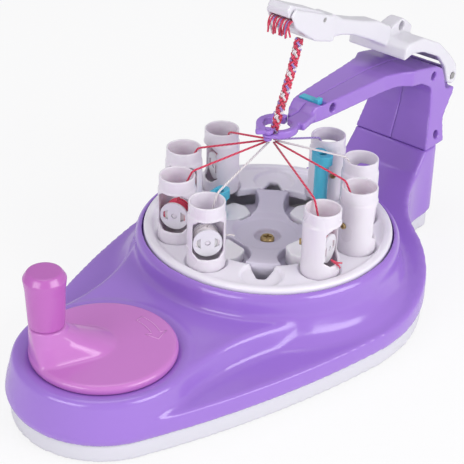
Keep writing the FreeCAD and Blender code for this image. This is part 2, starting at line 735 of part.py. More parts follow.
def tube(route, radius, sides=0):
    """Straight runs joined by tangent arcs, each as large as its two runs allow."""
    edges = []
    here = route[0]
    for i in range(1, len(route) - 1):
        before = route[i - 1] - route[i]
        after = route[i + 1] - route[i]
        run = 0.45 * min(before.Length, after.Length)
        half = before.getAngle(after) / 2
        bend = run * math.tan(half)
        first = route[i] + V(before).normalize() * run
        last = route[i] + V(after).normalize() * run
        middle = (V(before).normalize() + V(after).normalize()).normalize()
        peak = route[i] + middle * (bend / math.sin(half) - bend)
        edges.append(Part.LineSegment(here, first).toShape())
        edges.append(Part.Arc(first, peak, last).toShape())
        print(f"bend radius {bend:.1f} mm for a tube of {2 * radius:.1f} mm")
        here = last
    edges.append(Part.LineSegment(here, route[-1]).toShape())
    path = Part.Wire(edges)
    solid = path.makePipeShell([section(route[0], route[1] - route[0], radius, sides)], True, True)
    share = solid.Volume / (math.pi * radius ** 2 * path.Length)
    print(f"tube length {path.Length:.1f} mm, volume over section times length {share:.4f}")
    return solid


strands = []
for name, angle in POD_ANGLES.items():
    a = math.radians(angle)
    out = V(math.cos(a), math.sin(a), 0)
    start = out * circle + UP * (pod_z + bobbin_z + winding_r + yarn_r + 0.2)
    rim = out * (circle - collar_r + pod_wall + 0.9) + UP * (pod_z + pod_h + 2.8)
    finish = out * 2.3 + UP * meet_z
    strands.append(tube([start, rim, finish], yarn_r, 8))
feature("yarn_strands", Part.makeCompound(strands))

# Arm unit: two shells that meet in the middle plane, a tongue in the column and the braid guide at the tip
arm_top = val("arm_top")
arm_low = val("arm_underside")
pivot = V(val("pivot_x"), 0, val("pivot_height"))
arm_side = [(150, seam, 0), (151, 77, 10), (pivot.x - 1.5, 92, 4), (pivot.x - 0.5, 98, 2),
            (158.5, 107.5, 4), (143, 115.8, 10), (120, 121, 25), (96, arm_top, 25), (31, arm_top, 2),
            (25, 119.5, 1.5), (25, arm_low, 1), (105, arm_low, 25), (127, 109, 12), (139.5, 101.5, 6),
            (136.5, 84, 15), (129, seam, 0)]
arm_plan = [(24, 0, 0), (24, 7.5, 3), (37, 10.3, 10), (56, 12, 10), (94, 15, 20), (108, 18, 10),
            (128, 28.2, 6), (158, 28.2, 5), (172, 24, 2), (172, 0, 0)]
arm = side_plate(arm_side, 0, 30).common(plan_plate(arm_plan, seam - 5, arm_top + 5))
taper = Part.makePolygon([V(0, y, z) for y, z in ((-1, seam - 1), (28, seam - 1), (28, seam), (24.6, seam + 18),
                                                 (22, seam + 36), (22, 130), (-1, 130), (-1, seam - 1))])
arm = arm.common(Part.Face(taper).extrude(V(200, 0, 0)))
tongue = plan_plate([(133.8, 0, 0), (133.8, 16.7, 3), (146.2, 21.7, 3), (146.2, 0, 0)], 45, seam + 1)
arm = arm.fuse(tongue)
ear_room = side_plate([(148, 116, 0), (153, 106, 0), (156.5, 95.5, 0), (pivot.x + 8, 93, 0),
                       (pivot.x + 8, 130, 0), (148, 130, 0)], 17.4, 30)
arm = arm.cut(ear_room)
knuckle = Part.makeCylinder(4.6, 17.0, V(pivot.x - 3, 0, pivot.z), ACROSS)
arm = arm.fuse(knuckle)
hinge = V(pivot.x - 3, 0, pivot.z)
arm = arm.cut(Part.makeCylinder(2.1 + val("shaft_gap"), 60, hinge - ACROSS * 30, ACROSS))
arm_right = arm.mirror(V(0, 0, 0), ACROSS)
arm_left = arm
catch_x = 38.0
catch_room = Part.makeBox(5.4, 17.4, 6, V(catch_x - 2.7, -9.4, 121))
arm_right = arm_right.cut(catch_room)
arm_left = arm_left.cut(catch_room)
ARM_SCREWS = [(45, 118.6, 10.6), (140, 110, 21.6), (142, 69, 26.4)]
arm_screws = []
for sx, sz, face in ARM_SCREWS:
    arm_right = arm_right.cut(Part.makeCylinder(2.8, 12, V(sx, -face + 5 - 12, sz), ACROSS))
    arm_right = arm_right.cut(Part.makeCylinder(1.5, 40, V(sx, -30, sz), ACROSS))
    arm_left = arm_left.cut(Part.makeCylinder(1.5, 6, V(sx, -0.1, sz), ACROSS))
    arm_screws.append(Part.makeCylinder(2.5, 1.6, V(sx, -face + 3.2, sz), ACROSS).fuse(
        Part.makeCylinder(1.45, face - 4.8 + 5.6, V(sx, -face + 4.8, sz), ACROSS)))

# Braid guide: a finger round the near side and a gate round the far side of the guide hole
guide = V(val("guide_x"), 0, 0)
guide_r = val("guide_radius")
guide_out = guide_r + 4.0
g_low = val("guide_low")
g_high = val("guide_high")
gate_pivot = guide + V(-10.2, -1.2, 0)


def guide_arc(start, stop, z0, z1, inner=0.0, outer=0.0):
    a, b = math.radians(start), math.radians(stop)
    middle = (a + b) / 2
    r0, r1 = guide_r + inner, guide_out - outer

    def at(radius, turn):
        return guide + V(radius * math.cos(turn), radius * math.sin(turn), z0)

    wire = Part.Wire([Part.Arc(at(r1, a), at(r1, middle), at(r1, b)).toShape(),
                      Part.LineSegment(at(r1, b), at(r0, b)).toShape(),
                      Part.Arc(at(r0, b), at(r0, middle), at(r0, a)).toShape(),
                      Part.LineSegment(at(r0, a), at(r1, a)).toShape()])
    return Part.Face(wire).extrude(V(0, 0, z1 - z0))


near_arm = plan_plate([(guide.x + 8.7, -13, 1), (30, -9.5, 1), (30, -0.01, 0), (guide.x + 10, -0.01, 0)],
                      g_low, g_high)
near_arm = near_arm.cut(disc(guide_r, g_low - 1, g_high + 1, guide.x))
finger = guide_arc(-140, -2, g_low, g_high).fuse([guide_arc(-186, -139, g_low, g_low + 2.3), near_arm])
finger = finger.fuse(disc(3.2, g_low, g_low + 2.3, gate_pivot.x, gate_pivot.y))
finger = finger.cut(disc(1.3, g_low - 1, g_high, gate_pivot.x, gate_pivot.y))
arm_right = arm_right.fuse(finger)
lip_x = guide.x + 13.2
far_lip = plan_plate([(lip_x, 0, 0), (28, 0, 0), (28, 6.5, 1), (lip_x, 3, 1)], g_low, g_high)
arm_left = arm_left.fuse(far_lip.cut(disc(guide_out + gap, g_low - 1, g_high + 1, guide.x)))
feature("arm_shell_right", arm_right.removeSplitter())
feature("arm_shell_left", arm_left.removeSplitter())
feature("arm_screws", Part.makeCompound(arm_screws))

gate_low = g_low + 2.3 + gap
gate = guide_arc(8, 146, g_low, g_high).fuse([
    guide_arc(145, 186, gate_low, g_high), disc(3.2, gate_low, g_high, gate_pivot.x, gate_pivot.y)])
tab = plan_plate([(0, -1.9, 0), (7.4, -1.9, 1.2), (7.4, 1.9, 1.2), (0, 1.9, 0)], gate_low, g_high)
tab.rotate(V(0, 0, 0), UP, 138)
tab.translate(gate_pivot)
nub_turn = math.radians(40)
nub = disc(2.0, g_low, g_high + 1.5, guide.x + 11.5 * math.cos(nub_turn), 11.5 * math.sin(nub_turn))
gate = gate.fuse([tab, nub])
gate = gate.cut(disc(1.3 + val("shaft_gap"), g_low - 1, g_high + 1, gate_pivot.x, gate_pivot.y))
feature("guide_gate", gate.removeSplitter())
gate_pin = disc(1.3, g_low - 1, g_high + gap, gate_pivot.x, gate_pivot.y).fuse(
    disc(2.4, g_low - 1.8, g_low - 0.01, gate_pivot.x, gate_pivot.y))
feature("gate_pin", gate_pin)
catch = Part.makeBox(4.8, 14.2, 2.9, V(catch_x - 2.4, -6.5, 121.3))
catch = catch.fuse(Part.makeBox(4.8, 3.0, 1.2, V(catch_x - 2.4, -6.5, 124.2)))
feature("braid_catch", catch.removeSplitter())

# Tension arm: hooded elbow over the column, loop, stem and the clip head
hood_side = [(104, 132, 1), (105, 139.5, 2), (110, 142, 5), (125, 141, 12), (145, 131, 18),
             (158.6, 119, 14), (hinge.x + 4, 109, 6), (hinge.x + 6, 98.5, 4), (hinge.x + 1.0, 95.5, 3),
             (hinge.x - 5.5, 99, 3), (153.5, 112, 5), (145, 121.5, 15), (126, 131, 20), (114, 134, 6)]
hood = side_plate(hood_side, -21.4, 21.4)
hollow = side_plate([(107, 90, 0), (107, 137.2, 1), (111, 139.4, 3), (124.5, 138.5, 10), (143.6, 128.8, 16),
                     (156.8, 117.2, 12), (162.5, 109.5, 0), (175, 109.5, 0), (175, 90, 0)], -17.8, 17.8)
hood = hood.cut(hollow)
stem = side_plate([(42, 163, 1), (58, 160, 10), (70, 156, 10), (87, 147.5, 10), (106, 137.2, 4),
                   (110, 137.6, 0),
                   (110, 149, 0), (96, 157, 10), (80, 162, 10), (58.6, 170, 10), (44, 178.5, 2)], -6.2, 6.2)
loop = side_plate([(108, 140, 0), (113.5, 148, 4), (125, 150, 6), (136, 141.5, 3), (134, 137, 0)], -5, 5)
loop = loop.cut(Part.makeCylinder(3.0, 20, V(123.5, -10, 145), ACROSS))
head = side_plate([(44, 161, 2), (45, 177, 2), (38, 180, 1.5), (5.5, 193.1, 1.5), (2.0, 189.6, 1),
                   (6.5, 181.0, 2), (25.6, 167.4, 6)], -9.5, 9.5)
tension = hood.fuse([stem, loop, head])
clip_pivot = V(34, 0, 178.0)
lever_room = side_plate([(40, 182.5, 0), (40, 175, 0), (30, 175, 0), (-20, 194.8, 0), (-20, 215, 0)],
                        -7.8, 7.8)
tension = tension.cut(lever_room)
tension = tension.cut(Part.makeCylinder(2.1 + val("shaft_gap"), 60, hinge - ACROSS * 30, ACROSS))
tension = tension.cut(Part.makeCylinder(1.2, 30, clip_pivot - ACROSS * 15, ACROSS))
feature("tension_arm", tension.removeSplitter())
pivot_pin = Part.makeCylinder(2.1, 35.6, hinge - ACROSS * 17.8, ACROSS)
for side in (-1, 1):
    pivot_pin = pivot_pin.fuse(Part.makeCylinder(2.1, 4.6, hinge + ACROSS * (side * 19.5 - 2.3), ACROSS))
feature("tension_pin", pivot_pin.removeSplitter())
lever = side_plate([(37, 176.2, 1.2), (38.2, 179.5, 1.2), (33, 183, 1), (3.2, 196.0, 1), (0.6, 193.0, 0.8),
                    (2.0, 188.3, 0.5), (29, 177.0, 1.2)], -7.4, 7.4)
lever = lever.cut(Part.makeCylinder(1.2 + val("shaft_gap"), 30, clip_pivot - ACROSS * 15, ACROSS))
feature("clip_lever", lever)
feature("clip_pin", Part.makeCylinder(1.2, 18.6, clip_pivot - ACROSS * 9.3, ACROSS))

# Braid: pulled taut from the guide hole to the clip, tangent arcs between its runs
BRAID_ROUTE = [V(0.2, 0, 111.9), V(8.6, 0, 131), V(16.6, 0, 149.3), V(22.5, 0, 167.6)]
feature("braid", tube(BRAID_ROUTE, val("braid_radius")))

doc.recompute()
for obj in doc.Objects:
    if "Invalid" in obj.State or "Error" in obj.State:
        raise RuntimeError(f"{obj.Label} failed: {obj.State}")
os.makedirs("parts", exist_ok=True)
for obj in nodes:
    shape = obj.Shape
    if shape.isNull() or not shape.isValid() or not shape.Solids:
        raise RuntimeError(f"{obj.Label} has no sound shape")
    shape.exportStep(f"parts/{obj.Label}.step")
print(f"{len(nodes)} nodes written")
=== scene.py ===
import math

import bmesh
import bpy
from mathutils import Matrix, Vector


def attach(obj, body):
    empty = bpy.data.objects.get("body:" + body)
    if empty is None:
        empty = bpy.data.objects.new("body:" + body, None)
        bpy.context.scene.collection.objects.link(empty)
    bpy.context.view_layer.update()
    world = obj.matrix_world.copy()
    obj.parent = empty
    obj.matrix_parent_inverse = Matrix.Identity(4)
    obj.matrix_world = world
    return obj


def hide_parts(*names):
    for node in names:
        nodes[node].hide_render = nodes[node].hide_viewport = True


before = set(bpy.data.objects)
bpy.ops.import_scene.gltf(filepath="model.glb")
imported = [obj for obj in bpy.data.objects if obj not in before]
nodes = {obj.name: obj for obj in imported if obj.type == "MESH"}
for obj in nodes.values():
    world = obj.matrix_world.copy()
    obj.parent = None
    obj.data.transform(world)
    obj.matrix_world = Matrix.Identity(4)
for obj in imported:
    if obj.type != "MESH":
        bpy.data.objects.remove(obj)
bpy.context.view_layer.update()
scene = bpy.context.scene
mm = 0.001
podAngles = {"a": 106.5, "b": 142.5, "c": 70.5, "d": 178.5, "e": -1.5, "f": -37.5, "g": -73.5, "h": -109.5}
print("frame loaded:", len(nodes), "nodes")


# Colours are written as they are seen in the photograph and turned into linear light here
def seen(code):
    parts = [int(code[i:i + 2], 16) / 255 for i in (0, 2, 4)]
    linear = [p / 12.92 if p <= 0.04045 else ((p + 0.055) / 1.055) ** 2.4 for p in parts]
    return (*linear, 1.0)


def addNode(tree, kind, x, y, **values):
    made = tree.nodes.new(kind)
    made.location = (x, y)
    for name, value in values.items():
        setattr(made, name, value)
    return made


def groupSocket(tree, name, kind, default=None, output=False):
    socket = tree.interface.new_socket(name, in_out="OUTPUT" if output else "INPUT", socket_type=kind)
    if default is not None:
        socket.default_value = default
    return socket


# Moulded plastic: a cloudy gloss and a fine grain, for any material that wants them
def finishGroup():
    tree = bpy.data.node_groups.new("mouldedFinish", "ShaderNodeTree")
    groupSocket(tree, "Roughness", "NodeSocketFloat", 0.3)
    groupSocket(tree, "Cloud Size", "NodeSocketFloat", 35.0)
    groupSocket(tree, "Relief", "NodeSocketFloat", 0.02)
    groupSocket(tree, "Roughness", "NodeSocketFloat", output=True)
    groupSocket(tree, "Normal", "NodeSocketVector", output=True)
    entry = addNode(tree, "NodeGroupInput", -900, 0)
    leave = addNode(tree, "NodeGroupOutput", 100, 0)
    place = addNode(tree, "ShaderNodeTexCoord", -900, -300)
    cloud = addNode(tree, "ShaderNodeTexNoise", -650, -150)
    cloud.inputs["Detail"].default_value = 2
    spread = addNode(tree, "ShaderNodeMapRange", -450, -150)
    spread.inputs["To Min"].default_value = -0.035
    spread.inputs["To Max"].default_value = 0.035
    added = addNode(tree, "ShaderNodeMath", -250, 0, operation="ADD")
    grain = addNode(tree, "ShaderNodeTexNoise", -650, -450)
    grain.inputs["Scale"].default_value = 900
    bump = addNode(tree, "ShaderNodeBump", -250, -350)
    bump.inputs["Distance"].default_value = 0.0002
    link = tree.links.new
    link(place.outputs["Object"], cloud.inputs["Vector"])
    link(place.outputs["Object"], grain.inputs["Vector"])
    link(entry.outputs["Cloud Size"], cloud.inputs["Scale"])
    link(cloud.outputs["Fac"], spread.inputs["Value"])
    link(entry.outputs["Roughness"], added.inputs[0])
    link(spread.outputs["Result"], added.inputs[1])
    link(entry.outputs["Relief"], bump.inputs["Strength"])
    link(grain.outputs["Fac"], bump.inputs["Height"])
    link(added.outputs[0], leave.inputs["Roughness"])
    link(bump.outputs["Normal"], leave.inputs["Normal"])
    return tree


# Yarn: plies that wind round the thread along its own map, and loose fibre over them; a second, darker
# colour in the grooves between the plies is painted shade
def yarnGroup():
    tree = bpy.data.node_groups.new("twistedYarn", "ShaderNodeTree")
    groupSocket(tree, "Color", "NodeSocketColor", (0.8, 0.1, 0.2, 1))
    groupSocket(tree, "Painted Groove Shade", "NodeSocketColor", (0.4, 0.02, 0.06, 1))
    groupSocket(tree, "Plies", "NodeSocketFloat", 3.0)
    groupSocket(tree, "Color", "NodeSocketColor", output=True)
    groupSocket(tree, "Normal", "NodeSocketVector", output=True)
    entry = addNode(tree, "NodeGroupInput", -1100, 0)
    leave = addNode(tree, "NodeGroupOutput", 300, 0)
    uv = addNode(tree, "ShaderNodeAttribute", -1100, -300, attribute_name="yarnMap")
    split = addNode(tree, "ShaderNodeSeparateXYZ", -900, -300)
    plied = addNode(tree, "ShaderNodeMath", -700, -200, operation="MULTIPLY")
    summed = addNode(tree, "ShaderNodeMath", -550, -300, operation="ADD")
    turned = addNode(tree, "ShaderNodeMath", -400, -300, operation="MULTIPLY")
    turned.inputs[1].default_value = 2 * math.pi
    wave = addNode(tree, "ShaderNodeMath", -250, -300, operation="SINE")
    place = addNode(tree, "ShaderNodeTexCoord", -700, -600)
    fibre = addNode(tree, "ShaderNodeTexNoise", -500, -600)
    fibre.inputs["Scale"].default_value = 2600
    fibre.inputs["Detail"].default_value = 3
    height = addNode(tree, "ShaderNodeMath", -100, -400, operation="ADD")
    bump = addNode(tree, "ShaderNodeBump", 50, -350)
    bump.inputs["Strength"].default_value = 0.8
    bump.inputs["Distance"].default_value = 0.00018
    paintedShadeMix = addNode(tree, "ShaderNodeMapRange", -100, -150)
    paintedShadeMix.inputs["From Min"].default_value = -1.0
    paintedShadeMix.inputs["From Max"].default_value = 0.4
    blend = addNode(tree, "ShaderNodeMix", 60, 50, data_type="RGBA")
    link = tree.links.new
    link(uv.outputs["Vector"], split.inputs[0])
    link(split.outputs["X"], plied.inputs[0])
    link(entry.outputs["Plies"], plied.inputs[1])
    link(plied.outputs[0], summed.inputs[0])
    link(split.outputs["Y"], summed.inputs[1])
    link(summed.outputs[0], turned.inputs[0])
    link(turned.outputs[0], wave.inputs[0])
    link(place.outputs["Object"], fibre.inputs["Vector"])
    link(wave.outputs[0], height.inputs[0])
    link(fibre.outputs["Fac"], height.inputs[1])
    link(height.outputs[0], bump.inputs["Height"])
    # The wave's troughs, the grooves between the plies, take the painted shade colour
    link(wave.outputs[0], paintedShadeMix.inputs["Value"])
    link(paintedShadeMix.outputs["Result"], blend.inputs["Factor"])
    link(entry.outputs["Painted Groove Shade"], blend.inputs["A"])
    link(entry.outputs["Color"], blend.inputs["B"])
    link(blend.outputs["Result"], leave.inputs["Color"])
    link(bump.outputs["Normal"], leave.inputs["Normal"])
    return tree


moulded = finishGroup()
twisted = yarnGroup()


def freshMaterial(name):
    material = bpy.data.materials.new(name)
    material.use_nodes = True
    return material, material.node_tree, material.node_tree.nodes["Principled BSDF"]


def plastic(name, color, roughness=0.25, coat=0.3, glow=0.0, relief=0.02, clear=0.0):
    material, tree, body = freshMaterial(name)
    body.inputs["Base Color"].default_value = seen(color)
    body.inputs["Coat Weight"].default_value = coat
    body.inputs["Coat Roughness"].default_value = 0.08
    body.inputs["Subsurface Weight"].default_value = glow
    body.inputs["Subsurface Radius"].default_value = (0.004, 0.003, 0.004)
    body.inputs["Subsurface Scale"].default_value = 1.0
    body.inputs["Transmission Weight"].default_value = clear
    finish = addNode(tree, "ShaderNodeGroup", -300, 0, node_tree=moulded)
    finish.inputs["Roughness"].default_value = roughness
    finish.inputs["Relief"].default_value = relief
    tree.links.new(finish.outputs["Roughness"], body.inputs["Roughness"])
    tree.links.new(finish.outputs["Normal"], body.inputs["Normal"])
    return material


# The second colour is painted shade, laid in the grooves between the plies
def yarn(name, color, paintedGrooveShade, plies=3.0):
    material, tree, body = freshMaterial(name)
    body.inputs["Roughness"].default_value = 0.75
    body.inputs["Sheen Weight"].default_value = 0.35
    thread = addNode(tree, "ShaderNodeGroup", -300, 0, node_tree=twisted)
    thread.inputs["Color"].default_value = seen(color)
    thread.inputs["Painted Groove Shade"].default_value = seen(paintedGrooveShade)
    thread.inputs["Plies"].default_value = plies
    tree.links.new(thread.outputs["Color"], body.inputs["Base Color"])
    tree.links.new(thread.outputs["Normal"], body.inputs["Normal"])
    return material


def metal(name, color, roughness):
    material, tree, body = freshMaterial(name)
    body.inputs["Base Color"].default_value = seen(color)
    body.inputs["Metallic"].default_value = 1.0
    finish = addNode(tree, "ShaderNodeGroup", -300, 0, node_tree=moulded)
    finish.inputs["Roughness"].default_value = roughness
    finish.inputs["Cloud Size"].default_value = 1200
    finish.inputs["Relief"].default_value = 0.05
    tree.links.new(finish.outputs["Roughness"], body.inputs["Roughness"])
    tree.links.new(finish.outputs["Normal"], body.inputs["Normal"])
    return material


looks = {
    "purple": plastic("purplePlastic", "9E75D2", 0.22, 0.35, 0.04),
    "pink": plastic("pinkPlastic", "C87BC9", 0.25, 0.3, 0.06),
    "pinkKnob": plastic("pinkKnobPlastic", "BC66BA", 0.25, 0.3, 0.06),
    # white and ring are one white plastic in two copies: the ring's copy is painted lighter and the other
    # white parts' copy darker, for how the light falls on them
    "white": plastic("whitePlasticDarkerCopy", "E1DFE6", 0.3, 0.25, 0.12),
    "ring": plastic("ringPlasticLighterCopy", "EFEBF4", 0.3, 0.25, 0.1),
    "arrow": plastic("arrowRelief", "DB9ADA", 0.25, 0.3, 0.06),
    "cover": plastic("whiteCover", "D9D8DF", 0.4, 0.1, 0.05, 0.1),
    "cup": plastic("cupPlastic", "E6E0E9", 0.28, 0.3, 0.2),
    "disc": plastic("discPlastic", "D3CDDD", 0.38, 0.1, 0.08),
    "clear": plastic("frostedPads", "F4F2F6", 0.35, 0.2, 0.3),
    "cyan": plastic("cyanPlastic", "4DBBD6", 0.22, 0.3, 0.08),
    "gear": plastic("gearPlastic", "D8D6D2", 0.45, 0.0, 0.05, 0.1),
    "rubber": plastic("footRubber", "26262A", 0.75, 0.0, 0.0, 0.3),
    "steel": metal("screwSteel", "B4B2B0", 0.3),
    "brass": metal("screwBrass", "B79E6E", 0.35),
    # The second colour of each yarn is its painted groove shade
    "coral": yarn("coralYarn", "F2456A", "B91A40"),
    "snow": yarn("whiteYarn", "FBF7F7", "CDBFC6"),
    "lilac": yarn("lilacYarn", "B79CDD", "7C5CB0"),
}
yarnLook = {"a": "coral", "b": "coral", "c": "coral", "d": "snow", "e": "lilac", "f": "snow", "g": "coral",
            "h": "coral"}
plyTurns = 330.0  # turns of the plies in a metre of thread
print("materials made:", len(looks))


# Mesh helpers
def linkMesh(mesh, name, look, smooth=True):
    piece = bpy.data.objects.new(name, mesh)
    scene.collection.objects.link(piece)
    mesh.materials.clear()
    mesh.materials.append(looks[look])
    if smooth:
        mesh.shade_smooth()
    return piece


def applyModifiers(piece):
    graph = bpy.context.evaluated_depsgraph_get()
    fresh = bpy.data.meshes.new_from_object(piece.evaluated_get(graph))
    old = piece.data
    piece.modifiers.clear()
    piece.data = fresh
    bpy.data.meshes.remove(old)
    return piece


def softened(names, name, look, voxel, rounds):
    # A copy of CAD nodes closed into one skin, with its edges eased
    bm = bmesh.new()
    for node in names:
        bm.from_mesh(nodes[node].data)
    bmesh.ops.remove_doubles(bm, verts=bm.verts, dist=1e-6)
    mesh = bpy.data.meshes.new(name)
    bm.to_mesh(mesh)
    bm.free()
    piece = linkMesh(mesh, name, look)
    remesh = piece.modifiers.new("skin", "REMESH")
    remesh.mode = "VOXEL"
    remesh.voxel_size = voxel * mm
    remesh.use_smooth_shade = True
    ease = piece.modifiers.new("ease", "SMOOTH")
    ease.factor = 0.5
    ease.iterations = rounds
    applyModifiers(piece)
    piece.data.materials.clear()
    piece.data.materials.append(looks[look])
    return piece


def tubeMesh(name, path, radius, sides, twist):
    # A thread along points in millimetres; its map has X round the thread and Y turns along it
    points = [Vector(p) for p in path]
    bm = bmesh.new()
    uv = bm.verts.layers.float_vector.new("yarnMap")
    side = None
    rings = []
    run = 0.0
    for i, point in enumerate(points):
        ahead = points[min(i + 1, len(points) - 1)]
        behind = points[max(i - 1, 0)]
        along = (ahead - behind).normalized()
        if side is None:
            side = along.orthogonal().normalized()
        side = (side - along * side.dot(along)).normalized()
        up = along.cross(side)
        if i:
            run += (point - points[i - 1]).length
        ring = []
        for k in range(sides):
            turn = 2 * math.pi * k / sides
            vert = bm.verts.new((point + (side * math.cos(turn) + up * math.sin(turn)) * radius) * mm)
            vert[uv] = (k / sides, run * mm * twist, 0.0)
            ring.append(vert)
        rings.append(ring)
    for first, second in zip(rings, rings[1:]):
        for k in range(sides):
            bm.faces.new((first[k], first[(k + 1) % sides], second[(k + 1) % sides], second[k]))
    bm.faces.new(tuple(reversed(rings[0])))
    bm.faces.new(tuple(rings[-1]))
    mesh = bpy.data.meshes.new(name)
    bm.to_mesh(mesh)
    bm.free()
    return mesh


def eased(points, rounds=3):
    # Corner cutting: a soft line through a few points
    line = [Vector(p) for p in points]
    for _ in range(rounds):
        cut = [line[0]]
        for a, b in zip(line, line[1:]):
            cut += [a.lerp(b, 0.25), a.lerp(b, 0.75)]
        cut.append(line[-1])
        line = cut
    return line


# Every CAD node first gets its own finish; the pieces below then stand in for some of them
nodeLooks = {
    "bottom_cover": "cover", "rubber_feet": "rubber", "base_screws": "steel", "top_housing": "purple",
    "idler_gear": "gear", "crank_gear": "gear", "idler_pin": "steel", "crank_axle": "steel",
    "crank_disc": "pink", "crank_knob": "pinkKnob", "knob_pin": "steel", "outer_ring": "white",
    "reversing_pinion": "gear", "star_disc": "disc", "hub_screw": "brass", "transfer_pads": "white",
    "thread_lifter_tall": "cyan", "thread_lifter_short": "cyan", "pod_screws": "brass",
    "yarn_strands": "coral", "arm_shell_right": "purple", "arm_shell_left": "purple",
    "arm_screws": "steel", "guide_gate": "purple", "gate_pin": "purple", "braid_catch": "cyan",
    "tension_arm": "white", "tension_pin": "steel", "clip_lever": "white", "clip_pin": "steel",
    "braid": "coral",
}
for key in podAngles:
    nodeLooks[f"pod_cup_{key}"] = "cup"
    nodeLooks[f"bobbin_{key}"] = "white"
    nodeLooks[f"yarn_winding_{key}"] = yarnLook[key]
for node, look in nodeLooks.items():
    mesh = nodes[node].data
    mesh.materials.clear()
    mesh.materials.append(looks[look])
print("finishes on CAD nodes:", len(nodeLooks))

# Big shells and small moulded parts, eased from the CAD solids: voxel and rounds of smoothing
shells = {
    "housingSkin": (["top_housing"], "purple", "root", 1.4, 14),
    "coverSkin": (["bottom_cover"], "cover", "root", 1.5, 4),
    "armRightSkin": (["arm_shell_right"], "purple", "root", 0.7, 7),
    "armLeftSkin": (["arm_shell_left"], "purple", "root", 0.7, 7),
    "tensionSkin": (["tension_arm"], "white", "tension", 0.7, 7),
    "leverSkin": (["clip_lever"], "white", "clip", 0.6, 4),
    "crankSkin": (["crank_disc"], "pink", "crank", 0.8, 6),
    "knobSkin": (["crank_knob"], "pinkKnob", "knob", 0.6, 8),
    "ringSkin": (["outer_ring"], "ring", "turntable", 0.8, 3),
    "starSkin": (["star_disc"], "disc", "star", 0.7, 4),
    "padSkin": (["transfer_pads"], "clear", "star", 0.6, 6),
    "gateSkin": (["guide_gate"], "purple", "gate", 0.4, 5),
    "catchSkin": (["braid_catch"], "cyan", "catch", 0.35, 4),
    "lifterTallSkin": (["thread_lifter_tall"], "cyan", "lifter_tall", 0.4, 5),
    "lifterShortSkin": (["thread_lifter_short"], "cyan", "lifter_short", 0.4, 5),
}
for key in podAngles:
    shells[f"cupSkin{key.upper()}"] = ([f"pod_cup_{key}"], "cup", "turntable", 0.45, 5)
for name, (names, look, body, voxel, rounds) in shells.items():
    piece = softened(names, name, look, voxel, rounds)
    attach(piece, body)
    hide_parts(*names)
    print("shell", name, len(piece.data.polygons))

# Yarn on the bobbins: turns laid side by side, each with its own small tilt and size
winding = {
    "turns": 8, "width": 7.8, "core": 6.35, "radius": 6.7, "thread": 0.56, "tilt": 3.2,
    "height": 68.0, "circle": 56.0, "firstSeed": 11,
}
windowTurns = {"a": 104, "b": 60, "c": 80, "d": 50, "e": 32, "f": 35, "g": 38, "h": 32}


